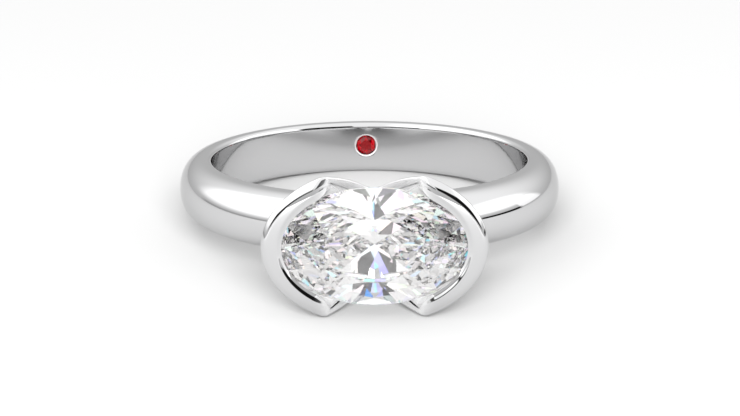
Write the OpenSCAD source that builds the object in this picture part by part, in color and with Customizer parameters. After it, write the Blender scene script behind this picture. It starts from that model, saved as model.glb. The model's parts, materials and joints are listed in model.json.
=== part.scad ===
// Oval solitaire ring. One cast metal body is a domed shank that carries two half bezels,
// open at the top and bottom of the stone. They hold an oval brilliant across the finger,
// and a small round brilliant is set flush inside the shank, opposite the head.
// The ring is worked out with the finger along Z and the head towards -Y, and is then
// leaned to rest on its side as it does by itself: on the two half bezels and the back.

/* [Finger] */
// Inside diameter of the ring
finger_d = 16.5; // [15.5:0.25:18]

/* [Shank] */
// Width of the shank at the back of the finger
back_w = 2.64; // [2.4:0.02:2.9]
// Width of the shank at the sides of the finger
side_w = 2.88; // [2.6:0.02:3.1]
// Width of the shank under the half bezels
head_w = 3; // [2.8:0.02:3.3]
// Thickness of the shank at the back of the finger
back_t = 1.5; // [1.4:0.02:1.8]
// Thickness of the shank at the sides of the finger
side_t = 1.66; // [1.5:0.02:1.9]
// Thickness of the shank at the shoulders and under the head
head_t = 2.24; // [2:0.02:2.3]
// Rounding of the two edges round the finger
edge_r = 0.24; // [0.15:0.01:0.3]

/* [Half bezels] */
// Length over both half bezels, across the finger
bezel_l = 11.58; // [11.4:0.02:12]
// Width of the half bezels, along the finger
bezel_w = 8.2; // [8:0.02:8.6]
// Height of the rim's crest above the finger
bezel_h = 5.47; // [5.4:0.01:5.6]
// How far the outside of a half bezel draws in for each millimetre towards the finger
bezel_taper = 0.84; // [0.78:0.01:0.86]
// Depth from the crest to the widest line of the domed rim
rim_dome = 0.45; // [0.35:0.01:0.5]
// Width of the gap between the half bezels at the crest
gap_w = 5.64; // [5.2:0.02:5.8]
// Angle of each side of the gap from the middle line
gap_angle = 42; // [40:1:44]

/* [Oval stone] */
// Length of the stone across the finger
stone_l = 9.8; // [9.7:0.02:9.84]
// Width of the stone along the finger
stone_w = 6.06; // [5.9:0.02:6.1]
// Height of the crown above the girdle
crown_h = 0.92; // [0.7:0.02:1]
// Thickness of the girdle
girdle_t = 0.16; // [0.1:0.02:0.2]
// Depth of the pavilion under the girdle
pavilion_h = 2.6; // [2.4:0.02:2.62]
// Width of the table as a share of the stone
table_share = 0.56; // [0.5:0.01:0.62]
// Depth from the crest of the rim to the middle of the girdle
girdle_sink = 0.42; // [0.4:0.01:0.44]

/* [Accent stone] */
// Diameter of the round stone inside the shank
accent_d = 1.02; // [0.8:0.02:1.1]
// How far the round stone lies above the middle line of the shank
accent_rise = 0.1; // [0:0.02:0.12]

/* [Hidden] */

finger_r = finger_d / 2;
// Gap kept between a stone and its seat
seat_gap = 0.05;

// Shank: between the back and the side it grows wider by a share of the difference and stays
// a little thinner than the back, and the shoulder is made the same way from side to head
quarter_share = 0.33;
quarter_thinner = 0.06;
shoulder_share = 0.8;
shoulder_thinner = 0.04;

// Section of the shank every 45 degrees from the back to the head
ANGLE = 0;
HALF_W = 1;
THICK = 2;
SHANK = [
    // angle, half width, thickness
    [0, back_w / 2, back_t],
    [45, between(back_w, side_w, quarter_share) / 2, back_t - quarter_thinner],
    [90, side_w / 2, side_t],
    [135, between(side_w, head_w, shoulder_share) / 2, head_t - shoulder_thinner],
    [180, head_w / 2, head_t]
];
shank_step = SHANK[1][ANGLE] - SHANK[0][ANGLE];
shank_sections = 60;
// Share of the thickness over which the flanks stay flat, and the power of the domed outside
flank_share = 0.3;
dome_power = 2.2;
// Metal left inside the finger line for the bore to cut, and how steeply the inner edge meets it
bore_allowance = 0.4;
inner_edge_slope = 2.2;

// Half bezels: how far the crest, the top of the inner bevel and the lip stand in from the
// widest line of the rim, as [across the finger, along the finger]
crest_in = [0.74, 0.52];
bevel_in = [0.86, 0.61];
lip_in = [1.05, 0.97];
lip_depth = 0.17;
// Metal left between the foot of the half bezels, which is inside the shank, and the finger
foot_cover = 1.1;
outer_a = bezel_l / 2;
outer_b = bezel_w / 2;
crest_y = -(finger_r + bezel_h);
oval_points = 56;
dome_angles = [0, 30, 50, 70, 90];

// Seat of the oval stone: room beside its long sides, and the width of the hollow's bottom
side_gap = 0.08;
hollow_share = 0.2;
lip_land = 0.02;

// Gap between the half bezels: a wedge whose bottom is round
gap_bottom_r = 0.3;
gap_apex = gap_w / 2 / tan(gap_angle);
gap_round_depth = gap_apex - gap_bottom_r / sin(gap_angle);

// Stones: a brilliant cut repeats every eighth of a turn
eighth = 45;
half_eighth = eighth / 2;
star_share = 0.5;
lower_half_share = 0.77;

// Round stone: its depth, its crown and girdle as shares of its diameter, how far its table
// lies below the inner wall, and the width of the bright rim round it
accent_depth = 0.6;
accent_crown_share = 0.15;
accent_girdle_share = 0.04;
accent_sink = 0.03;
accent_rim = 0.08;

// Sides of the round surfaces, and how far a cut starts outside the metal
bore_sides = 180;
small_sides = 48;
start_above = 0.3;

// Lean: the line from the lowest edge of the half bezels to the underside at the back
horn_x = gap_w / 2 - rim_dome * tan(gap_angle);
horn_z = -outer_b * sqrt(1 - pow(horn_x / outer_a, 2));
horn_y = crest_y + rim_dome;
lean = atan(min([for (p = shank_section(0)) (p[1] - horn_z) / (p[0] - horn_y)]));
floor_drop = horn_y * sin(lean) - horn_z * cos(lean);
front_y = -lean_y(crest_y + girdle_sink - girdle_t / 2 - crown_h, -stone_w / 2 * table_share);
back_y = max([for (p = shank_section(0)) lean_y(p[0], p[1])]);
middle_y = (back_y - front_y) / 2;

function lean_y(y, z) = y * cos(lean) + z * sin(lean);
function between(a, b, share) = a + (b - a) * share;

// Smooth value of a column of SHANK at an angle: a Catmull-Rom curve through its rows
function shank_row(i, column) =
    SHANK[i < 0 ? -i : i >= len(SHANK) ? 2 * len(SHANK) - 2 - i : i][column];
function through(a, b, c, d, u) =
    b + 0.5 * u * (c - a + u * (2 * a - 5 * b + 4 * c - d + u * (3 * (b - c) + d - a)));
function shank_value(column, angle) =
    let (
        turned = angle > 180 ? 360 - angle : angle,
        i = min(floor(turned / shank_step), len(SHANK) - 2),
        u = turned / shank_step - i
    )
    through(shank_row(i - 1, column), shank_row(i, column),
            shank_row(i + 1, column), shank_row(i + 2, column), u);

// Section of the shank at an angle, as points [distance from the axis, height]
function signed_power(x, p) = sign(x) * pow(abs(x), p);
function inner_edge(half_w, side) = [
    for (a = [25, 50, 75])
        [finger_r + edge_r * (1 - cos(a)), side * (half_w - edge_r * (1 - sin(a)))]
];
function shank_section(angle) =
    let (
        half_w = shank_value(HALF_W, angle),
        thick = shank_value(THICK, angle),
        flat = flank_share * thick,
        top = inner_edge(half_w, 1),
        bottom = inner_edge(half_w, -1),
        run = top[0][0] - (finger_r - bore_allowance),
        hidden = [finger_r - bore_allowance, top[0][1] - run * inner_edge_slope]
    )
    concat(
        [[hidden[0], -hidden[1]]],
        bottom,
        [
            for (a = [-90:15:90])
                [finger_r + flat + (thick - flat) * signed_power(cos(a), 2 / dome_power),
                 half_w * signed_power(sin(a), 2 / dome_power)]
        ],
        [top[2], top[1], top[0]],
        [hidden]
    );

// Faces of a closed loop of sections, each with the same number of points
function loop_faces(sections, points) = [
    for (i = [0:sections - 1], j = [0:points - 1])
        let (
            a = i * points,
            b = (i + 1) % sections * points,
            k = (j + 1) % points
        )
        [a + j, b + j, b + k, a + k]
];

module triangulated(points, faces) {
    // Each four-sided face is cut into two flat triangles
    polyhedron(points, [
        for (f = faces)
            each len(f) == 4 ? [[f[0], f[1], f[2]], [f[0], f[2], f[3]]] : [f]
    ]);
}

module shank_blank() {
    step = 360 / shank_sections;
    points = [
        for (i = [0:shank_sections - 1], p = shank_section(i * step))
            [p[0] * sin(i * step), p[0] * cos(i * step), p[1]]
    ];
    triangulated(points, loop_faces(shank_sections, len(shank_section(0))));
}

// A solid through a stack of ovals, each given as [depth below the crest, semi-axis a, semi-axis b]
module oval_stack(rows) {
    step = 360 / oval_points;
    points = [
        for (r = rows, i = [0:oval_points - 1])
            [r[1] * cos((i + 0.5) * step), crest_y + r[0], r[2] * sin((i + 0.5) * step)]
    ];
    walls = [
        for (k = [0:len(rows) - 2], i = [0:oval_points - 1])
            let (n = (i + 1) % oval_points, a = k * oval_points, b = a + oval_points)
            [a + i, a + n, b + n, b + i]
    ];
    first = [for (i = [oval_points - 1:-1:0]) i];
    last = [for (i = [0:oval_points - 1]) (len(rows) - 1) * oval_points + i];
    triangulated(points, concat(walls, [first], [last]));
}

// Outside of both half bezels: a domed rim over a tapering cup that ends inside the shank
module cup_blank() {
    dome = [
        for (a = dome_angles)
            [rim_dome * (1 - cos(a)),
             outer_a - crest_in[0] * (1 - sin(a)),
             outer_b - crest_in[1] * (1 - sin(a))]
    ];
    foot_depth = bezel_h - foot_cover;
    draw_in = bezel_taper * (foot_depth - rim_dome);
    oval_stack(concat(dome, [[foot_depth, outer_a - draw_in, outer_b - draw_in]]));
}

// Room for the stone: a bevel down to the lip, a pocket round the girdle and a hollow under it
module stone_seat() {
    pocket = [stone_l / 2 + seat_gap, stone_w / 2 + side_gap];
    lip = [outer_a, outer_b] - lip_in;
    rise = (lip_in - bevel_in) / lip_depth;
    mouth = lip + rise * (lip_depth + start_above);
    girdle_low = girdle_sink + girdle_t / 2 + seat_gap;
    oval_stack([
        [-start_above, mouth[0], mouth[1]],
        [lip_depth, lip[0], lip[1]],
        [lip_depth + lip_land, pocket[0], pocket[1]],
        [girdle_low, pocket[0], pocket[1]],
        [girdle_low + pavilion_h, pocket[0] * hollow_share, pocket[1] * hollow_share]
    ]);
}

// Wedge that parts the half bezels, running along the finger
module bezel_gap() {
    tangent_x = gap_bottom_r * cos(gap_angle);
    tangent_y = gap_round_depth + gap_bottom_r * sin(gap_angle);
    wide_x = gap_w / 2 + start_above * tan(gap_angle);
    translate([0, crest_y, -bezel_w])
        linear_extrude(height = 2 * bezel_w)
            union() {
                polygon([[-wide_x, -start_above], [wide_x, -start_above],
                         [tangent_x, tangent_y], [-tangent_x, tangent_y]]);
                translate([0, gap_round_depth])
                    circle(r = gap_bottom_r, $fn = small_sides);
            }
}

module finger_bore() {
    cylinder(h = 4 * head_w, r = finger_r, center = true, $fn = bore_sides);
}

// Flush seat in the inner wall: a bright countersunk rim over a straight pocket
module accent_seat() {
    pocket_r = (accent_d + seat_gap) / 2;
    pocket_depth = accent_sink + accent_depth + seat_gap;
    translate([0, finger_r, accent_rise])
        rotate([-90, 0, 0])
            union() {
                cylinder(h = pocket_depth, r = pocket_r, $fn = small_sides);
                translate([0, 0, -start_above])
                    cylinder(h = start_above + accent_rim,
                             r1 = pocket_r + accent_rim + start_above,
                             r2 = pocket_r, $fn = small_sides);
            }
}

// Brilliant cut on a unit circle, table up: radius 1 and heights in the stone's own units.
// Each main facet is flat, so a star point or a lower half point lies in its plane.
function on_circle(r, angle, z) = [r * cos(angle), r * sin(angle), z];
function star_radius() = between(table_share, 1, star_share) / cos(half_eighth);
function star_height(crown) = crown * (1 - star_share);
function lower_radius() = (1 - lower_half_share) / cos(half_eighth);

module brilliant(a, b, crown, girdle, pavilion) {
    top = girdle / 2;
    star_z = top + star_height(crown);
    lower_z = -top - pavilion * lower_half_share;
    unit = concat(
        [for (i = [0:7]) on_circle(table_share, eighth * i, top + crown)],
        [for (i = [0:7]) on_circle(star_radius(), eighth * i + half_eighth, star_z)],
        [for (i = [0:15]) on_circle(1, half_eighth * i, top)],
        [for (i = [0:15]) on_circle(1, half_eighth * i, -top)],
        [for (i = [0:7]) on_circle(lower_radius(), eighth * i + half_eighth, lower_z)],
        [[0, 0, -top - pavilion]]
    );
    table = 0;
    star = 8;
    upper = 16;
    under = 32;
    lower = 48;
    culet = 56;
    faces = concat(
        [[for (i = [7:-1:0]) table + i]],
        [for (i = [0:7]) [table + i, table + (i + 1) % 8, star + i]],
        [for (i = [0:7]) each
            [[table + i, star + i, upper + 2 * i],
             [table + i, upper + 2 * i, star + (i + 7) % 8]]],
        [for (i = [0:7]) each
            [[star + i, upper + 2 * i + 1, upper + 2 * i],
             [star + i, upper + (2 * i + 2) % 16, upper + 2 * i + 1]]],
        [for (i = [0:15])
            [upper + i, upper + (i + 1) % 16, under + (i + 1) % 16, under + i]],
        [for (i = [0:7]) each
            [[under + 2 * i, under + 2 * i + 1, lower + i],
             [under + 2 * i + 1, under + (2 * i + 2) % 16, lower + i]]],
        [for (i = [0:7]) each
            [[culet, under + 2 * i, lower + i],
             [culet, lower + (i + 7) % 8, under + 2 * i]]]
    );
    triangulated([for (p = unit) [p[0] * a, p[1] * b, p[2]]], faces);
}

module band_and_half_bezels() {
    color("gainsboro")
        resting()
            difference() {
                union() {
                    shank_blank();
                    cup_blank();
                }
                stone_seat();
                bezel_gap();
                finger_bore();
                accent_seat();
            }
}

module oval_stone() {
    color("aliceblue")
        resting()
            translate([0, crest_y + girdle_sink, 0])
                rotate([90, 0, 0])
                    brilliant(stone_l / 2, stone_w / 2, crown_h, girdle_t, pavilion_h);
}

module accent_stone() {
    crown = accent_crown_share * accent_d;
    girdle = accent_girdle_share * accent_d;
    color("crimson")
        resting()
            translate([0, finger_r + accent_sink + crown + girdle / 2, accent_rise])
                rotate([90, 0, 0])
                    brilliant(accent_d / 2, accent_d / 2, crown, girdle,
                              accent_depth - crown - girdle);
}

// Leans the ring back onto the floor at Z 0, with the middle of its length over the origin
module resting() {
    translate([0, -middle_y, floor_drop])
        rotate([-lean, 0, 0])
            children();
}

band_and_half_bezels();
oval_stone();
accent_stone();
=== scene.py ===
import json

import bmesh
import bpy
import numpy as np
from bpy.props import FloatProperty, FloatVectorProperty, PointerProperty
from bpy.types import Operator, Panel, PropertyGroup
from mathutils import Matrix


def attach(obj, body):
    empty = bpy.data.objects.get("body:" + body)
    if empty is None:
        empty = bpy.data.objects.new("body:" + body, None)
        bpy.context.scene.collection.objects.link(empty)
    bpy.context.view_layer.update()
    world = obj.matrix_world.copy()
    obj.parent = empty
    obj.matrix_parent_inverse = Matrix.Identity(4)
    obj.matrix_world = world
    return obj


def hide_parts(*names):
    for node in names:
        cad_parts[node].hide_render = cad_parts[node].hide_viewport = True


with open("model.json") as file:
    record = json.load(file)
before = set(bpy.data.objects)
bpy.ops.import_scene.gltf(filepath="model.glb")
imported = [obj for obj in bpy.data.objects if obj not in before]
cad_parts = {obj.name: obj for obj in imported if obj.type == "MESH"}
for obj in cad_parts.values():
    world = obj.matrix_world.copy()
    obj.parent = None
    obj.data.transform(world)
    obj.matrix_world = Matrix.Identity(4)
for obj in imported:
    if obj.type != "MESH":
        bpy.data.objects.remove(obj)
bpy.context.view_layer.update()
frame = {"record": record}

bl_info = {
    "name": "Oval solitaire ring",
    "version": (1, 0, 0),
    "blender": (4, 5, 0),
    "location": "View3D > Sidebar > Ring",
    "description": "Polished half bezel ring with an oval brilliant and a flush accent stone",
    "category": "Object",
}

MM = 0.001
LIP_END = (1.1, 1.05)  # inset of the lip's inner edge at the ends and sides, in mm
POCKET_TOP = 0.2  # depth below the crest at which the girdle's pocket starts, in mm
BORE = frame["record"]["mounts"][0]
CENTRE = np.array(BORE["pos_m"], float)
AXIS = np.array(BORE["axis"], float) / np.linalg.norm(BORE["axis"])
# Turns the ring's own frame (finger along z, head towards -y) to the way it lies on the floor
TURN = np.array([[1, 0, 0], [0, AXIS[2], AXIS[1]], [0, -AXIS[1], AXIS[2]]])


def placed(points):
    """World place, in metres, of points given in millimetres in the ring's own frame."""
    return CENTRE + MM * np.asarray(points, float).reshape(-1, 3) @ TURN.T


# ---------------------------------------------------------------- sizes and colours


def length(name, about, value):
    """A size in millimetres, or a share, as a property."""
    return FloatProperty(name=name, description=about, default=value, min=0.0, max=100.0,
                         precision=3)


def pair(name, about, value):
    """Two sizes in millimetres, at the ends and at the sides of the oval."""
    return FloatVectorProperty(name=name, description=about, default=value, size=2, precision=3)


def colour(name, about, value):
    """A colour property."""
    return FloatVectorProperty(name=name, description=about, default=value, size=3,
                               min=0.0, max=1.0, subtype="COLOR")


class ShankSizes(PropertyGroup):
    finger_r: length("Finger radius", "Radius of the finger bore, in mm", BORE["dims"]["r_mm"])
    back_w: length("Back width", "Width at the back of the finger, in mm", 2.64)
    side_w: length("Side width", "Width at the sides of the finger, in mm", 2.88)
    head_w: length("Head width", "Width under the half bezels, in mm", 3.0)
    back_t: length("Back thickness", "Thickness at the back, in mm", 1.5)
    side_t: length("Side thickness", "Thickness at the sides, in mm", 1.66)
    head_t: length("Head thickness", "Thickness under the head, in mm", 2.24)
    edge_r: length("Edge rounding", "Radius of the edges round the finger, in mm", 0.24)
    accent_rise: length("Accent rise", "Height of the accent stone above the middle, in mm", 0.1)
    accent_r: length("Accent seat", "Radius of the accent stone's seat, in mm", 0.535)
    accent_rim: length("Accent rim", "Width of the bright rim of that seat, in mm", 0.08)
    accent_depth: length("Accent seat depth", "Depth of that seat, in mm", 0.68)


class BezelSizes(PropertyGroup):
    rim_l: length("Length", "Length over both half bezels, in mm", 11.58)
    rim_w: length("Width", "Width of the half bezels along the finger, in mm", 8.27)
    rise: length("Height", "Height of the rim's crest above the finger, in mm", 5.47)
    taper: length("Taper", "How far the outside draws in for each mm of depth", 0.8)
    rim_taper: pair("Taper at the rim", "The same just below the rim, at the ends and sides",
                    (0.8, 0.5))
    dome: length("Rim dome", "Depth from the crest to the widest line, in mm", 0.3)
    rim_edge: pair("Rim edge", "Inset of the rim's outer edge at the ends and sides, in mm",
                   (0.2, 0.44))
    rim_drop: length("Rim drop", "Depth of the rim's outer edge below the crest, in mm", 0.03)
    bevel_edge: pair("Bevel edge", "Inset of the bevel's outer edge, in mm", (0.86, 0.66))
    lip_edge: pair("Lip edge", "Inset of the lip's outer edge, in mm", (0.97, 0.86))
    bevel_drop: length("Bevel drop", "Depth of the bevel, in mm", 0.065)
    gap_w: length("Gap", "Width of the gap at the crest, in mm", 5.35)
    gap_angle: FloatProperty(name="Gap angle", default=44.0, min=20.0, max=60.0,
                             description="Lean of each side of the gap, in degrees")
    gap_round: length("Gap bottom", "Radius of the bottom of the gap, in mm", 0.3)
    horn_r: length("Horn rounding", "Radius of the horn's edges, in mm", 0.34)
    foot: length("Foot", "Depth of the foot below the crest, in mm", 4.37)


class StoneSizes(PropertyGroup):
    length: length("Length", "Length of the oval stone, in mm", 9.8)
    width: length("Width", "Width of the oval stone, in mm", 6.06)
    crown: length("Crown", "Height of the crown, in mm", 0.92)
    girdle: length("Girdle", "Least thickness of the girdle, in mm", 0.16)
    pavilion: length("Pavilion", "Depth of the pavilion, in mm", 2.6)
    table: length("Table", "Width of the table as a share of the stone", 0.552)
    star: length("Star", "Length of the star facets as a share of the crown", 0.6)
    lower: length("Lower halves", "Length of the lower halves as a share of the pavilion", 0.77)
    bulge: length("Bulge", "Height of the bend in the lower halves, in mm", 0.07)
    end: length("End mains", "Direction of the mains beside the ends, in degrees", 14.4)
    sink: length("Sink", "Depth of the girdle's middle below the crest, in mm", 0.42)
    accent_d: length("Accent diameter", "Diameter of the round accent stone, in mm", 1.02)
    accent_depth: length("Accent depth", "Depth of the round accent stone, in mm", 0.6)
    accent_sink: length("Accent sink", "Depth of its table below the bore, in mm", 0.03)


class Finish(PropertyGroup):
    metal: colour("Metal", "Colour of the polished white metal", (0.64, 0.64, 0.645))
    seat: colour("Seat", "Colour of the bright cut seat under the oval stone", (0.7, 0.7, 0.7))
    stone: colour("Oval stone", "Tint of the oval stone", (0.982, 0.98, 0.979))
    accent: colour("Accent stone", "Colour of the accent stone", (0.5, 0.0, 0.006))
    floor: colour("Floor", "Colour of the floor", (0.43, 0.43, 0.43))


# ---------------------------------------------------------------- meshes


def add_mesh(name, points, faces, flat=False):
    """A mesh object at the origin from points in mm in the ring's frame and a list of faces.

    The faces of the closed shell are turned to point outwards.
    """
    mesh = bpy.data.meshes.new(name)
    mesh.from_pydata(placed(points).tolist(), [], [[int(i) for i in f] for f in faces])
    work = bmesh.new()
    work.from_mesh(mesh)
    bmesh.ops.recalc_face_normals(work, faces=work.faces)
    work.to_mesh(mesh)
    work.free()
    mesh.polygons.foreach_set("use_smooth", [not flat] * len(mesh.polygons))
    thing = bpy.data.objects.new(name, mesh)
    bpy.context.scene.collection.objects.link(thing)
    return thing


def add_seat(thing, bright):
    """Stores how much each point of a piece is bright cut seat, from 0 to 1, for its material."""
    seat = thing.data.attributes.new("seat", "FLOAT", "POINT")
    seat.data.foreach_set("value", bright.astype(np.float32))


def grid_faces(rows, columns, closed=False):
    """Four-sided faces of a grid of points stored row by row, where each row is a loop.

    In a closed grid the last row joins the first.
    """
    i = np.arange(rows if closed else rows - 1)[:, None]
    j = np.arange(columns)[None, :]
    k, m = (i + 1) % rows, (j + 1) % columns
    return np.stack([i * columns + j, k * columns + j, k * columns + m, i * columns + m], -1)


def eased(control, radii, steps):
    """A path through control points whose corners are rounded by a quadratic curve.

    The curve starts and ends at the corner's radius from it, or at 0.45 of the way to the
    next corner where that is nearer.
    """
    share = 0.45
    control = np.asarray(control, float)
    out = [control[0]]
    u = np.linspace(0, 1, steps)[:, None]
    for before, corner, after, r in zip(control, control[1:], control[2:], radii):
        a, b = before - corner, after - corner
        la, lb = np.linalg.norm(a), np.linalg.norm(b)
        p = corner + a / la * min(r, la * share)
        q = corner + b / lb * min(r, lb * share)
        out.extend((1 - u) ** 2 * p + 2 * u * (1 - u) * corner + u ** 2 * q)
    out.append(control[-1])
    return np.array(out)


def shank_table(s):
    """Rows of [half width, thickness] every 45 degrees from the back to the head.

    The two rows that no size names are blends of their neighbours, drawn in a little.
    """
    return np.array([
        [s.back_w / 2, s.back_t],
        [(0.67 * s.back_w + 0.33 * s.side_w) / 2, s.back_t - 0.06],
        [s.side_w / 2, s.side_t],
        [(0.2 * s.side_w + 0.8 * s.head_w) / 2, s.head_t - 0.04],
        [s.head_w / 2, s.head_t],
    ])


def along_shank(table, degrees):
    """Half width and thickness at each angle: a Catmull-Rom curve through the table's rows."""
    turned = np.minimum(degrees % 360, 360 - degrees % 360)
    i = np.minimum(turned // 45, len(table) - 2).astype(int)
    u = (turned / 45 - i)[:, None]
    last = len(table) - 1
    a, b, c, d = (table[np.abs(last - np.abs(last - (i + k)))] for k in (-1, 0, 1, 2))
    return b + 0.5 * u * (c - a + u * (2 * a - 5 * b + 4 * c - d + u * (3 * (b - c) + d - a)))


def shank_profile(s):
    """The shank's closed section as four rows of numbers, one number for each of its points.

    A point's distance from the bore is p0 + p1 * thickness and its height is
    q0 + q1 * half width. The outside is a superellipse, the flanks are straight, and the
    edges round the finger are arcs. Also gives the first and last point of the bore's wall.
    """
    flank, power = 0.3, 2.2
    dome_steps, flank_steps, edge_steps, wall_steps = 57, 5, 11, 37
    a = np.radians(np.linspace(-90, 90, dome_steps))
    c = np.abs(np.cos(a)) ** (2 / power)
    h = np.sign(np.sin(a)) * np.abs(np.sin(a)) ** (2 / power)
    dome = np.stack([0 * a, flank + (1 - flank) * c, 0 * a, h])
    k = np.linspace(0, 1, flank_steps)[1:-1]
    run = np.stack([s.edge_r * k, flank * (1 - k), 0 * k, 0 * k + 1])
    b = np.radians(np.linspace(90, 0, edge_steps))
    arc = np.stack([s.edge_r * (1 - np.cos(b)), 0 * b, -s.edge_r * (1 - np.sin(b)), 0 * b + 1])
    m = np.linspace(1, -1, wall_steps)[1:-1]
    wall = np.stack([0 * m, 0 * m, -s.edge_r * m, m])
    low = np.array([[1], [1], [-1], [-1]])
    profile = np.concatenate([dome, run, arc, wall, (arc * low)[:, ::-1], (run * low)[:, ::-1]], 1)
    first = dome.shape[1] + run.shape[1] + arc.shape[1]
    return profile, first, first + wall.shape[1] - 1


def shank_mesh(s):
    """The shank: its section carried round the finger, with the accent stone's seat let in.

    At the angle t a section point at distance d from the bore and height z lies at
    ((r + d) sin t, (r + d) cos t, z). The seat's mouth is a set of rings that pass from a
    patch of the bore's grid to a circle, all on the bore's cylinder; below it are a cone, a
    straight pocket and a flat bottom. Also gives how bright each point is: one on the cone.
    """
    around = 360
    reach, patch = 7, 0.86  # half size of the patch, in rows of the grid and in mm
    blends, bottom_share = 7, 0.3
    lead, cut = 0.012, 0.004  # width and depth of the small steps at the cone's edges, in mm
    degrees = np.arange(around) * 360 / around
    half_w, thick = along_shank(shank_table(s), degrees).T
    p, first, last = shank_profile(s)
    r = s.finger_r + p[0] + p[1] * thick[:, None]
    z = p[2] + p[3] * half_w[:, None]
    t = np.radians(degrees)[:, None]
    points = np.stack([r * np.sin(t), r * np.cos(t), z], -1)
    rows, columns = points.shape[:2]
    faces = grid_faces(rows, columns, closed=True)

    heights = z[0, first:last + 1]
    near = first + np.nonzero(np.abs(heights - s.accent_rise) < patch)[0]
    top, bottom = near[0], near[-1]
    i = np.arange(-reach, reach + 1)
    loop = np.concatenate([
        (i[:-1] % rows) * columns + top,
        (reach % rows) * columns + np.arange(top, bottom),
        (i[:0:-1] % rows) * columns + bottom,
        (-reach % rows) * columns + np.arange(bottom, top, -1),
    ])
    let_in = np.zeros((rows, columns), bool)
    let_in[np.ix_(i[:-1] % rows, np.arange(top, bottom))] = True
    kept = faces[~let_in].reshape(-1, 4)

    flat = points.reshape(-1, 3)
    edge = flat[loop]
    along = s.finger_r * np.arctan2(edge[:, 0], edge[:, 1])
    up = edge[:, 2] - s.accent_rise
    turn = np.arctan2(up, along)
    mouth = s.accent_r + s.accent_rim
    rings = []
    for share in np.linspace(0, 1, blends + 1)[1:]:
        x = along * (1 - share) + mouth * np.cos(turn) * share
        h = up * (1 - share) + mouth * np.sin(turn) * share
        rings.append((x, h, 0 * x))
    for radius, deep in ((mouth - lead, cut), (s.accent_r + lead, s.accent_rim - cut),
                         (s.accent_r, s.accent_rim + 2 * cut), (s.accent_r, s.accent_depth),
                         (bottom_share * s.accent_r, s.accent_depth)):
        rings.append((radius * np.cos(turn), radius * np.sin(turn), deep + 0 * turn))
    ring = [np.stack([(s.finger_r + d) * np.sin(x / s.finger_r),
                      (s.finger_r + d) * np.cos(x / s.finger_r), s.accent_rise + h], -1)
            for x, h, d in rings]
    n, start = len(loop), len(flat)
    number = np.vstack([loop[None, :], start + np.arange(len(ring) * n).reshape(len(ring), n)])
    nxt = np.roll(number, -1, 1)
    seat = np.stack([number[:-1], nxt[:-1], nxt[1:], number[1:]], -1).reshape(-1, 4)
    faces = kept.tolist() + seat.tolist() + [number[-1].tolist()]
    bright = np.zeros(start + len(ring) * n)
    bright[start + blends * n:start + (blends + 2) * n] = 1
    return np.vstack([flat] + ring), faces, bright


def gap_side(depth, s):
    """Half width of the gap at a depth: straight sides down to a round bottom.

    Below the bottom it is a little less than nothing, so the two halves overlap there.
    """
    lean, overlap = np.radians(s.gap_angle), 0.03
    apex = s.gap_w / 2 / np.tan(lean)
    middle = apex - s.gap_round / np.sin(lean)
    straight = s.gap_w / 2 - depth * np.tan(lean)
    arc = np.sqrt(np.maximum(s.gap_round ** 2 - (depth - middle) ** 2, 0))
    low = depth > middle + s.gap_round * np.sin(lean)
    return np.where(low, np.where(arc > 0, arc, -overlap), straight)


def bezel_profile(s, stone):
    """The half bezel's closed section, as rows of [inset at the ends, inset at the sides, depth].

    It runs from the foot up the outside, over the widest line to the outer edge of the rim,
    across the rim, down the bevel and the lip that holds the stone, round the girdle's pocket
    and down the hollow under the stone. At the depth d below the widest line, with D at the
    foot, the outside has drawn in by rim_taper * d + (taper - rim_taper) * d * d / D.
    """
    end_room, side_room, under_room, waist = 0.05, 0.08, 0.05, 0.2
    a, b = s.rim_l / 2, s.rim_w / 2
    low = stone.sink + stone.girdle / 2 + under_room
    pocket = np.array([a - stone.length / 2 - end_room, b - stone.width / 2 - side_room])
    hollow = np.array([a - (a - pocket[0]) * waist, b - (b - pocket[1]) * waist])
    corners = [
        [*(np.array(s.rim_taper) * (s.foot - s.dome)), s.foot],
        [0.0, 0.0, s.dome], [*s.rim_edge, s.rim_drop], [*s.bevel_edge, 0.0],
        [*s.lip_edge, s.bevel_drop], [*LIP_END, s.bevel_drop + 0.015],
        [*pocket, POCKET_TOP], [*pocket, low], [*hollow, low + stone.pavilion],
    ]
    radii = [0.22, 0.2, 0.08, 0.03, 0.02, 0.02, 0.03]
    corner_steps, wall_steps = 9, 24
    path = eased(corners, radii, corner_steps)
    k = np.linspace(0, 1, wall_steps)[:, None]
    taper = path[0] + (path[1] - path[0]) * k[:-1]
    below = taper[:, 2:] - s.dome
    taper[:, :2] += (s.taper - np.array(s.rim_taper)) * below ** 2 / (s.foot - s.dome)
    down = path[-2] + (path[-1] - path[-2]) * k
    foot = [[hollow[0], hollow[1], s.foot]]
    return np.vstack([taper, path[1:-2], down, foot])


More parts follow.
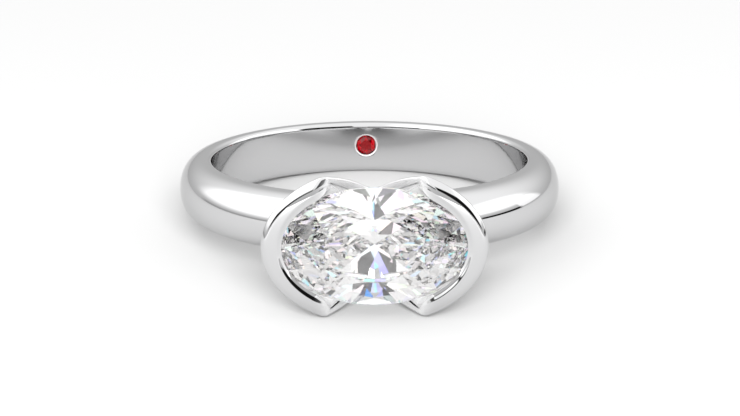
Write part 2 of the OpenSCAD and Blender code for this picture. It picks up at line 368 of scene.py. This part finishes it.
def bezel_mesh(s, stone, side, finger_r):
    """One half bezel: its section carried along the oval from horn to horn.

    A point of the section with insets e and f and depth w runs along the ellipse of
    semi-axes a - e and b - f at that depth, as far as the slanted side of the gap. The
    horns' edges are rounded: the section shrunk towards its middle line by r (1 - sin t)
    ends r (1 - cos t) before the gap's side. Also gives how bright each point is: one on
    the seat below the top of the girdle's pocket, passing to a half at the horns.
    """
    core = 0.42  # depth at which the wall's middle line starts, in mm
    most = 0.98  # how far the section may shrink, as a share of the way to that line
    edge_steps, steps, crowding, horn_tone = 7, 161, 0.9, 0.5
    section = bezel_profile(s, stone)
    depth = section[:, 2]
    top = int(np.argmin(depth))
    wall = np.clip(depth, core, s.foot)
    mid = []
    for column in (0, 1):
        out = np.interp(wall, depth[:top + 1][::-1], section[:top + 1, column][::-1])
        order = np.argsort(depth[top:], kind="stable")
        ins = np.interp(wall, depth[top:][order], section[top:, column][order])
        mid.append((out + ins) / 2)
    spine = np.stack([mid[0], mid[1], wall], -1)
    arm = spine - section
    reach = np.linalg.norm(arm, axis=1, keepdims=True)
    arm = arm / np.maximum(reach, 1e-9)

    a, b = s.rim_l / 2, s.rim_w / 2
    lean = np.cos(np.radians(s.gap_angle))

    def turn_at_gap(q, back):
        """Each point's turn round the oval where it is a distance back from the gap's side."""
        x = gap_side(q[:, 2], s) + back / lean
        return np.arccos(np.clip(x / (a - q[:, 0]), -1, 1))

    def carried(q, turn):
        """The section's points q at a turn round the oval."""
        return np.stack([(a - q[:, 0]) * np.cos(turn), q[:, 2], (b - q[:, 1]) * np.sin(turn)], -1)

    bends = np.radians(np.linspace(0, 90, edge_steps))
    rings = []
    for t in bends:
        shrunk = section + arm * np.minimum(s.horn_r * (1 - np.sin(t)), reach * most)
        end = turn_at_gap(shrunk, s.horn_r * (1 - np.cos(t)))
        rings.append(carried(shrunk, end))
    cap = carried(spine, turn_at_gap(spine, 0.0))
    share = np.linspace(1, -1, steps)[1:-1]
    share = np.sign(share) * np.abs(share) ** crowding
    body = [carried(section, end * k) for k in share]
    flip = np.array([1, 1, -1])
    points = np.array([cap] + rings + body + [r * flip for r in rings[::-1]] + [cap * flip])
    points = np.stack([side * points[..., 0],
                       points[..., 1] - finger_r - s.rise, points[..., 2]], -1)
    rows, columns = points.shape[:2]
    faces = grid_faces(rows, columns).reshape(-1, 4).tolist()
    ends = [list(range(columns)), list(range((rows - 1) * columns, rows * columns))]
    inner = (np.arange(len(section)) > top) & (depth > POCKET_TOP)
    tip = [1.0] + [1 - np.sin(t) for t in bends]
    tip = np.array(tip + [0.0] * len(body) + tip[::-1])[:, None]
    return points.reshape(-1, 3), faces + ends, (inner * (1 - tip) + horn_tone * tip).ravel()


def oval_point(a, b, degrees):
    """Point of an ellipse in the direction seen from its middle, as x, y."""
    t = np.radians(degrees)
    r = a * b / np.hypot(b * np.cos(t), a * np.sin(t))
    return np.stack([r * np.cos(t), r * np.sin(t)], -1)


def brilliant(a, b, crown, girdle, pavilion, table, star, lower, end=22.5, hills=1.2, bulge=0.0):
    """An oval brilliant, table up: its points and flat faces.

    Each main facet is a plane through a corner of the table (or the culet) and the girdle,
    square to the girdle's outline there. Neighbouring mains meet in a line, and the points
    of the stars and of the lower halves lie on it at their heights. The halves are planes
    through those points and the girdle, and end where they cut the oval wall. The edge that
    two lower halves share is bent at its middle, which stands out by bulge * c * c, and the
    girdle is thicker by hills * c * c of its least, where c is the cosine of the direction
    from the long axis. The mains beside the two ends stand at the angle end from that axis.
    """
    arc, least = 6, 0.03  # steps of the wall in each half facet, and its least thickness in mm
    mains = np.array([end, 67.5, 112.5, 180 - end, 180 + end, 247.5, 292.5, 360 - end])
    between = np.array([0, 22.5 + end, 90, 157.5 - end, 180, 202.5 + end, 270, 337.5 - end])
    k, g = oval_point(a, b, mains), oval_point(a, b, between)
    n = np.stack([k[:, 0] / a ** 2, k[:, 1] / b ** 2], -1)
    n /= np.linalg.norm(n, axis=1, keepdims=True)
    corner = k * table
    top_k = girdle / 2 * (1 + hills * np.cos(np.radians(mains)) ** 2)
    top_g = girdle / 2 * (1 + hills * np.cos(np.radians(between)) ** 2)

    def meeting(reach):
        """Where main i - 1 and main i meet, each at its own distance from the middle line."""
        m, d = np.stack([np.roll(n, 1, 0), n], 1), np.stack([np.roll(reach, 1), reach], 1)
        return np.linalg.solve(m, d[..., None])[..., 0]

    rim, cut = (n * k).sum(1), (n * corner).sum(1)
    star_z = girdle / 2 + crown * (1 - star)
    s = meeting(rim + (cut - rim) * (star_z - top_k) / (girdle / 2 + crown - top_k))
    low_z = -girdle / 2 - pavilion * lower
    depth = girdle / 2 + pavilion
    low = meeting(rim * (depth + low_z) / (depth - top_k))

    knots = np.append(np.column_stack([between, mains]).ravel(), 360)
    turns = np.interp(np.arange(16 * arc) / arc, np.arange(17), knots)
    wall = oval_point(a, b, turns)
    foot = np.stack([g, k], 1).reshape(16, 2)
    foot_top = np.stack([top_g, top_k], 1).ravel()

    def heights(tip, tip_z, sign):
        """Height of each point of the wall on the plane of the half facet over it."""
        out, tip_z = np.zeros(len(wall)), np.broadcast_to(tip_z, 8)
        for j in range(16):
            after, i = (j + 1) % 16, (j + 1) // 2 % 8
            known = np.array([[*foot[j], 1], [*foot[after], 1], [*tip[i], 1]])
            high = [sign * foot_top[j], sign * foot_top[after], tip_z[i]]
            plane = np.linalg.solve(known, high)
            span = slice(j * arc, (j + 1) * arc)
            out[span] = wall[span] @ plane[:2] + plane[2]
        return out

    bend = (low + g) / 2
    bend_z = (low_z - top_g) / 2 - bulge * np.cos(np.radians(between)) ** 2
    up, down = heights(s, star_z, 1), heights(bend, bend_z, -1)
    lift = np.maximum(least - (up - down), 0) / 2
    up, down = up + lift, down - lift
    w = len(wall)
    points = np.vstack([
        np.column_stack([corner, np.full(8, girdle / 2 + crown)]),
        np.column_stack([s, np.full(8, star_z)]),
        np.column_stack([low, np.full(8, low_z)]),
        [[0, 0, -depth]],
        np.column_stack([wall, up]), np.column_stack([wall, down]),
        np.column_stack([bend, bend_z]),
    ])
    # Number of the first point of the table, stars, lower halves, culet, wall's top, wall's
    # bottom and bends
    T, S, L, C, U, D, B = 0, 8, 16, 24, 25, 25 + w, 25 + 2 * w
    faces = [[T + i for i in range(8)]]
    for i in range(8):
        before, here, half = (i - 1) % 8, 2 * i * arc, (2 * i + 1) * arc
        faces.append([T + before, S + i, T + i])
        faces.append([T + i, S + i, U + half, S + (i + 1) % 8])
        faces.append([C, L + (i + 1) % 8, D + half, L + i])
        back = (here - arc) % w
        for tip, edge in ((S, U), (B, D)):
            for start in (here, back):
                faces.append([tip + i] + [edge + (start + q) % w for q in range(arc + 1)])
        faces += [[L + i, B + i, D + half], [L + i, D + back, B + i]]
    faces += [[U + i, U + (i + 1) % w, D + (i + 1) % w, D + i] for i in range(w)]
    return points, faces


# ---------------------------------------------------------------- materials


class Sum:
    """A socket that takes part in Python arithmetic; each operation adds a Math node."""

    def __init__(self, graph, socket):
        self.graph, self.socket = graph, socket

    def _maths(self, operation, *values):
        return self.graph.node("Math", {"operation": operation}, list(values))

    def __add__(self, other):
        return self._maths("ADD", self, other)

    def __sub__(self, other):
        return self._maths("SUBTRACT", self, other)

    def __rsub__(self, other):
        return self._maths("SUBTRACT", other, self)

    def __mul__(self, other):
        return self._maths("MULTIPLY", self, other)

    def __gt__(self, other):
        return self._maths("GREATER_THAN", self, other)

    __radd__, __rmul__ = __add__, __mul__


class Graph:
    """A node tree that is filled by calls and expressions."""

    def __init__(self, tree):
        self.tree = tree
        tree.nodes.clear()

    def node(self, kind, settings=None, inputs=None, output=0):
        """Adds a node: its settings first, then its inputs by name or place, as values or links."""
        made = self.tree.nodes.new("ShaderNode" + kind)
        for key, value in (settings or {}).items():
            setattr(made, key, value)
        items = inputs.items() if isinstance(inputs, dict) else enumerate(inputs or [])
        for key, value in items:
            if isinstance(value, Sum):
                self.tree.links.new(value.socket, made.inputs[key])
            elif value is not None:
                made.inputs[key].default_value = value
        return Sum(self, made.outputs[output]) if made.outputs else made

    def blend(self, factor, first, second):
        """Colour between two colours."""
        inputs = {0: factor, 6: first, 7: second}
        return self.node("Mix", {"data_type": "RGBA"}, inputs, output=2)


def material(name):
    """A new node material and its graph."""
    made = bpy.data.materials.new(name)
    made.use_nodes = True
    return made, Graph(made.node_tree)


def polished_metal(look):
    """Mirror polish with the faint unevenness that a polishing wheel leaves.

    Where the attribute seat is one, the metal is lighter and softer, as a bright cut seat is.
    """
    made, g = material("polished white metal")
    place = g.node("TexCoord", output="Object")
    wheel = g.node("TexNoise", {}, {"Vector": place, "Scale": 420.0, "Detail": 3.0,
                                    "Roughness": 0.55})
    soft = g.node("TexNoise", {}, {"Vector": place, "Scale": 90.0, "Detail": 1.0})
    bump = g.node("Bump", {}, {"Height": wheel * 0.3 + soft, "Strength": 0.02, "Distance": 0.0002})
    shade = g.blend(wheel, (*[v * 0.985 for v in look.metal], 1), (*look.metal, 1))
    seat = g.node("Attribute", {"attribute_name": "seat"}, output=2)
    shade = g.blend(seat, shade, (*look.seat, 1))
    metal = g.node("BsdfPrincipled", {}, {
        "Base Color": shade, "Metallic": 1 - seat * 0.5, "Normal": bump,
        "Roughness": wheel * 0.02 + 0.015 + seat * 0.45,
        "Specular Tint": (0.75, 0.75, 0.75, 1)})
    g.node("OutputMaterial", {}, {"Surface": metal})
    return made


def clear_stone(look):
    """Colourless brilliant: strong refraction, with a trace of cloud in its tint."""
    made, g = material("colourless brilliant")
    place = g.node("TexCoord", output="Object")
    cloud_and_facet_shade = g.node("TexNoise", {}, {"Vector": place, "Scale": 900.0, "Detail": 1.0})
    tint = g.blend(cloud_and_facet_shade, (*look.stone, 1), (*[v * 0.99 for v in look.stone], 1))
    glass = g.node("BsdfGlass", {}, {"Color": tint, "Roughness": 0.0, "IOR": 2.42})
    g.node("OutputMaterial", {}, {"Surface": glass})
    return made


def red_stone(look):
    """Deep red glass brilliant with painted shade: each facet lighter or darker by how it faces."""
    made, g = material("red brilliant")
    facet = g.node("NewGeometry", output="True Normal")
    # Painted light and shade: noise read from each flat facet's normal sets how far its colour goes
    # from the accent colour towards a fifth of it (depth is that share), so facets look lit and
    # shaded at random.
    cloud_and_facet_shade = g.node("TexNoise", {}, {"Vector": facet, "Scale": 4.5, "Detail": 1.0})
    depth = g.node("MapRange", {}, {"Value": cloud_and_facet_shade, "From Min": 0.42, "From Max": 0.58})
    tint = g.blend(depth, (*look.accent, 1), (*[v * 0.2 for v in look.accent], 1))
    glass = g.node("BsdfPrincipled", {}, {
        "Base Color": tint, "Roughness": 0.02, "IOR": 1.77, "Transmission Weight": 0.5,
        "Specular IOR Level": 0.0})
    g.node("OutputMaterial", {}, {"Surface": glass})
    return made


def floor_finish(look):
    """Plain matt floor."""
    made, g = material("pale floor")
    place = g.node("TexCoord", output="Object")
    grain = g.node("TexNoise", {}, {"Vector": place, "Scale": 40.0, "Detail": 2.0})
    shade = g.blend(grain, (*look.floor, 1), (*[v * 0.998 for v in look.floor], 1))
    g.node("OutputMaterial", {}, {"Surface": g.node("BsdfDiffuse", {}, {"Color": shade})})
    return made


# ---------------------------------------------------------------- operators


class RING_OT_shank(Operator):
    """Make the domed shank with the accent stone's seat"""

    bl_idname = "ring.shank"
    bl_label = "Shank"

    def execute(self, context):
        scene = context.scene
        points, faces, bright = shank_mesh(scene.ring_shank)
        thing = add_mesh("polished_shank", points, faces)
        add_seat(thing, bright)
        thing.data.materials.append(polished_metal(scene.ring_finish))
        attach(thing, "root")
        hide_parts("band_and_half_bezels")
        return {"FINISHED"}


class RING_OT_half_bezels(Operator):
    """Make the two half bezels that hold the oval stone"""

    bl_idname = "ring.half_bezels"
    bl_label = "Half bezels"

    def execute(self, context):
        scene = context.scene
        metal = bpy.data.materials["polished white metal"]
        for name, side in (("half_bezel_left", -1), ("half_bezel_right", 1)):
            points, faces, bright = bezel_mesh(scene.ring_bezel, scene.ring_stone, side,
                                               scene.ring_shank.finger_r)
            thing = add_mesh(name, points, faces)
            add_seat(thing, bright)
            thing.data.materials.append(metal)
            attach(thing, "root")
            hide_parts("band_and_half_bezels")
        return {"FINISHED"}


class RING_OT_oval_stone(Operator):
    """Cut the oval brilliant and set it between the half bezels"""

    bl_idname = "ring.oval_stone"
    bl_label = "Oval stone"

    def execute(self, context):
        scene = context.scene
        s = scene.ring_stone
        points, faces = brilliant(s.length / 2, s.width / 2, s.crown, s.girdle, s.pavilion,
                                  s.table, s.star, s.lower, s.end, bulge=s.bulge)
        crest = scene.ring_shank.finger_r + scene.ring_bezel.rise
        points = np.column_stack([points[:, 0], -crest + s.sink - points[:, 2], points[:, 1]])
        thing = add_mesh("oval_brilliant", points, faces, flat=True)
        thing.data.materials.append(clear_stone(scene.ring_finish))
        thing.visible_shadow = False
        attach(thing, "root")
        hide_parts("oval_stone")
        return {"FINISHED"}


class RING_OT_accent_stone(Operator):
    """Cut the round accent stone and set it inside the shank"""

    bl_idname = "ring.accent_stone"
    bl_label = "Accent stone"

    def execute(self, context):
        scene = context.scene
        s, shank = scene.ring_stone, scene.ring_shank
        d = s.accent_d
        crown, girdle = 0.15 * d, 0.04 * d
        points, faces = brilliant(d / 2, d / 2, crown, girdle, s.accent_depth - crown - girdle,
                                  table=0.56, star=0.5, lower=0.77, hills=0.0)
        middle = shank.finger_r + s.accent_sink + crown + girdle / 2
        points = np.column_stack([points[:, 0], middle - points[:, 2],
                                  shank.accent_rise + points[:, 1]])
        thing = add_mesh("accent_brilliant", points, faces, flat=True)
        thing.data.materials.append(red_stone(scene.ring_finish))
        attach(thing, "root")
        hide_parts("accent_stone")
        return {"FINISHED"}


class RING_OT_studio(Operator):
    """Lay the floor, light the ring softly and aim the camera"""

    bl_idname = "ring.studio"
    bl_label = "Studio"

    def execute(self, context):
        scene = context.scene
        size = 0.6
        mesh = bpy.data.meshes.new("floor")
        mesh.from_pydata([(-size, -size, 0), (size, -size, 0), (size, size, 0), (-size, size, 0)],
                         [], [(0, 1, 2, 3)])
        floor = bpy.data.objects.new("floor", mesh)
        scene.collection.objects.link(floor)
        mesh.materials.append(floor_finish(scene.ring_finish))

        world = scene.world or bpy.data.worlds.new("studio")
        scene.world = world
        world.use_nodes = True
        g = Graph(world.node_tree)
        light = g.node("Background", {}, {"Color": self.tent(g), "Strength": 1.0})
        g.node("OutputWorld", {}, {"Surface": light})

        self.lamp(scene, "front softbox", place=(0.0, -0.36, 0.18), size=0.25, power=4.0)
        self.camera(scene)
        scene.view_settings.view_transform = "Standard"
        scene.view_settings.look = "None"
        scene.cycles.use_denoising = True
        scene.cycles.max_bounces = 32
        scene.cycles.transmission_bounces = 32
        scene.cycles.glossy_bounces = 18
        return {"FINISHED"}

    def tent(self, g):
        """Brightness of the light tent in each direction, as a colour.

        It grows from the horizon to the top. A wide softbox stands on the left and a smaller
        one on the right, each with a dark foot at the horizon. The tent's opening in front is
        dark on both sides of a narrow slot. Light that has passed a stone sees the tent's
        frame instead, as dark bars with tinted edges.
        """
        way = g.node("TexCoord", output="Generated")
        x, y, z = (g.node("SeparateXYZ", {}, [way], output=k) for k in range(3))

        def step(value, low, high, first=0.0, last=1.0):
            """A smooth step from first to last while the value goes from low to high."""
            return g.node("MapRange", {"interpolation_type": "SMOOTHSTEP"}, {
                "Value": value, "From Min": low, "From Max": high, "To Min": first, "To Max": last})

        def window(value, low, high, soft):
            """One between two limits, falling softly to nothing outside them."""
            return step(value, low - soft, low) * step(value, high, high + soft, 1.0, 0.0)

        front = step(y, -0.5, -0.4, 1.0, 0.0)
        sky = step(z, -0.1, 0.75, 0.68, 1.35)
        left = step(x - z * 0.3, -0.62, -0.38, 1.0, 0.0) * step(z, 0.08, 0.3)
        left = left * step(y, 0.55, 0.8, 1.0, 0.0)
        right = step(x, 0.6, 0.75) * window(z, 0.3, 0.7, 0.14) * step(y, 0.35, 0.6, 1.0, 0.0)
        strip = step(x, 0.78, 0.84) * window(z, 0.05, 0.35, 0.03) * window(y, 0.2, 0.6, 0.04)
        right = right + strip
        foot = step(z, 0.05, 0.08, 0.3, 0.0) * step(x, -0.9, -0.8, 1.0, 0.0)
        right_foot = step(z, 0.07, 0.09, 0.97, 0.0) * step(x, 0.9, 0.93)
        foot = foot + right_foot * step(y, 0.15, 0.25, 1.0, 0.0)
        opening = window(z, 0.1, 0.62, 0.03) * window(x, 0.2, 0.74, 0.04)
        opening = (opening + window(z, 0.1, 0.33, 0.03) * window(x, -0.6, -0.02, 0.04)) * front
        around = (sky + (left + right) * 0.75) * (1 - foot) * (1 - 0.99 * opening)

        aside = g.node("Math", {"operation": "ABSOLUTE"}, [x])

        def bars(shift):
            """The tent's frame, seen only through a stone: its edges differ by colour."""
            low = window(z, -0.05, 0.36, 0.03)
            uprights = window(x, 0.14 - shift, 0.45, 0.03) + window(x, -0.58, -0.32 + shift, 0.03)
            high = window(z, 0.46, 0.5, 0.02) * window(aside, 0.39, 0.65, 0.04)
            side = window(z, 0.3, 0.46, 0.03) * window(x, 0.75, 0.86 + shift, 0.02)
            return 1 - (low * uprights + (high + side) * 0.85) * front

        def patch(place, low, high):
            """One near a direction, falling to nothing away from it."""
            gap = g.node("VectorMath", {"operation": "DISTANCE"}, [way, place], output=1)
            return step(gap, low, high, 1.0, 0.0)

        fleck = g.node("TexNoise", {}, {"Vector": way, "Scale": 7.0, "Detail": 1.0}, output=1)
        flecks = [g.node("SeparateColor", {}, [fleck], output=k) for k in range(3)]
        slot = window(x, -0.26, 0.2, 0.05) * window(z, -0.1, 0.2, 0.2) * front
        warm = step(x, -0.06, 0.06)
        cyan = patch((0.2, -0.5, 0.84), 0.12, 0.3) * 0.8 + slot * warm
        violet = patch((-0.2, -0.5, 0.84), 0.12, 0.3) * 0.8 + slot * (1 - warm)
        shifts, levels = (0.02, 0.01, 0.0), (1.4, 1.39, 1.37)
        cyan_takes, violet_takes = (0.7, 0.15, 0.0), (0.6, 0.58, 0.1)
        inside = g.node("CombineXYZ", {}, [
            bars(shift) * (1 - cyan * c) * (1 - violet * v) * (level + (hue - 0.5))
            for shift, c, v, level, hue in zip(shifts, cyan_takes, violet_takes, levels, flecks)])
        through = g.node("LightPath", output="Transmission Depth") > 0.5
        return g.blend(through, g.node("CombineXYZ", {}, [around] * 3), inside)

    def lamp(self, scene, name, place, size, power):
        """A square softbox at a place in metres that faces the origin.

        It lights what is matt; mirror reflections and what is seen through a stone miss it.
        """
        lamp = bpy.data.lights.new(name, "AREA")
        lamp.shape, lamp.size, lamp.energy = "SQUARE", size, power
        thing = bpy.data.objects.new(name, lamp)
        scene.collection.objects.link(thing)
        back = np.array(place) / np.linalg.norm(place)
        right = np.cross([0, 1, 0.01], back)
        right /= np.linalg.norm(right)
        turn = np.eye(4)
        turn[:3, :3] = np.column_stack([right, np.cross(back, right), back])
        turn[:3, 3] = place
        thing.matrix_world = Matrix(turn.tolist())
        thing.visible_glossy = False
        thing.visible_transmission = False

    def camera(self, scene):
        """The camera, worked out in the ring's own frame.

        It looks at the middle of the bore from a distance in mm, raised, swung round and
        rolled by three angles, and is then turned until that point shows where it should.
        """
        distance, scale = 300.0, 19.03  # mm, and pixels for each mm at that distance
        width, height, sensor = 740, 416, 36.0
        rise, swing, roll = np.radians([13.73, -1.13, -0.096])
        bore_x, bore_y = 369.22, 183.5
        aim = np.array([bore_x - width / 2, bore_y - height / 2]) / (scale * distance)
        back = np.array([np.sin(swing) * np.cos(rise), -np.cos(swing) * np.cos(rise), np.sin(rise)])
        right = np.cross(-back, [0, 0, 1])
        right /= np.linalg.norm(right)
        up = np.cross(right, -back)
        c, s = np.cos(roll), np.sin(roll)
        right, up = c * right + s * up, -s * right + c * up
        yaw = np.arctan(aim[0])
        pitch = np.arctan(aim[1] * np.cos(yaw))
        c, s = np.cos(yaw), np.sin(yaw)
        turn_y = np.array([[c, 0, -s], [0, 1, 0], [s, 0, c]])
        c, s = np.cos(pitch), np.sin(pitch)
        turn_x = np.array([[1, 0, 0], [0, c, s], [0, -s, c]])
        rows = turn_x @ turn_y @ np.stack([right, up, back])
        lens = bpy.data.cameras.new("camera")
        lens.sensor_fit, lens.sensor_width = "HORIZONTAL", sensor
        lens.lens = sensor * scale * distance / width
        lens.clip_start, lens.clip_end = 0.001, 10.0
        camera = bpy.data.objects.new("camera", lens)
        scene.collection.objects.link(camera)
        pose = np.eye(4)
        pose[:3, :3] = TURN @ rows.T
        pose[:3, 3] = placed(back * distance)[0]
        camera.matrix_world = Matrix(pose.tolist())
        scene.camera = camera


class RING_PT_panel(Panel):
    """Buttons for each part of the ring and for the studio"""

    bl_label = "Oval solitaire ring"
    bl_idname = "RING_PT_panel"
    bl_space_type = "VIEW_3D"
    bl_region_type = "UI"
    bl_category = "Ring"

    def draw(self, context):
        for group in ("ring_shank", "ring_bezel", "ring_stone", "ring_finish"):
            data = getattr(context.scene, group)
            column = self.layout.column()
            for key in data.__annotations__:
                column.prop(data, key)
        for step in STEPS:
            self.layout.operator(step.bl_idname)


GROUPS = {"ring_shank": ShankSizes, "ring_bezel": BezelSizes, "ring_stone": StoneSizes,
          "ring_finish": Finish}
STEPS = (RING_OT_shank, RING_OT_half_bezels, RING_OT_oval_stone, RING_OT_accent_stone,
         RING_OT_studio)


def register():
    for kind in (*GROUPS.values(), *STEPS, RING_PT_panel):
        bpy.utils.register_class(kind)
    for name, kind in GROUPS.items():
        setattr(bpy.types.Scene, name, PointerProperty(type=kind))


def unregister():
    for name in GROUPS:
        delattr(bpy.types.Scene, name)
    for kind in (RING_PT_panel, *reversed(STEPS), *reversed(GROUPS.values())):
        bpy.utils.unregister_class(kind)


def main():
    register()
    for step in (bpy.ops.ring.shank, bpy.ops.ring.half_bezels, bpy.ops.ring.oval_stone,
                 bpy.ops.ring.accent_stone, bpy.ops.ring.studio):
        step()


if __name__ == "__main__":
    main()
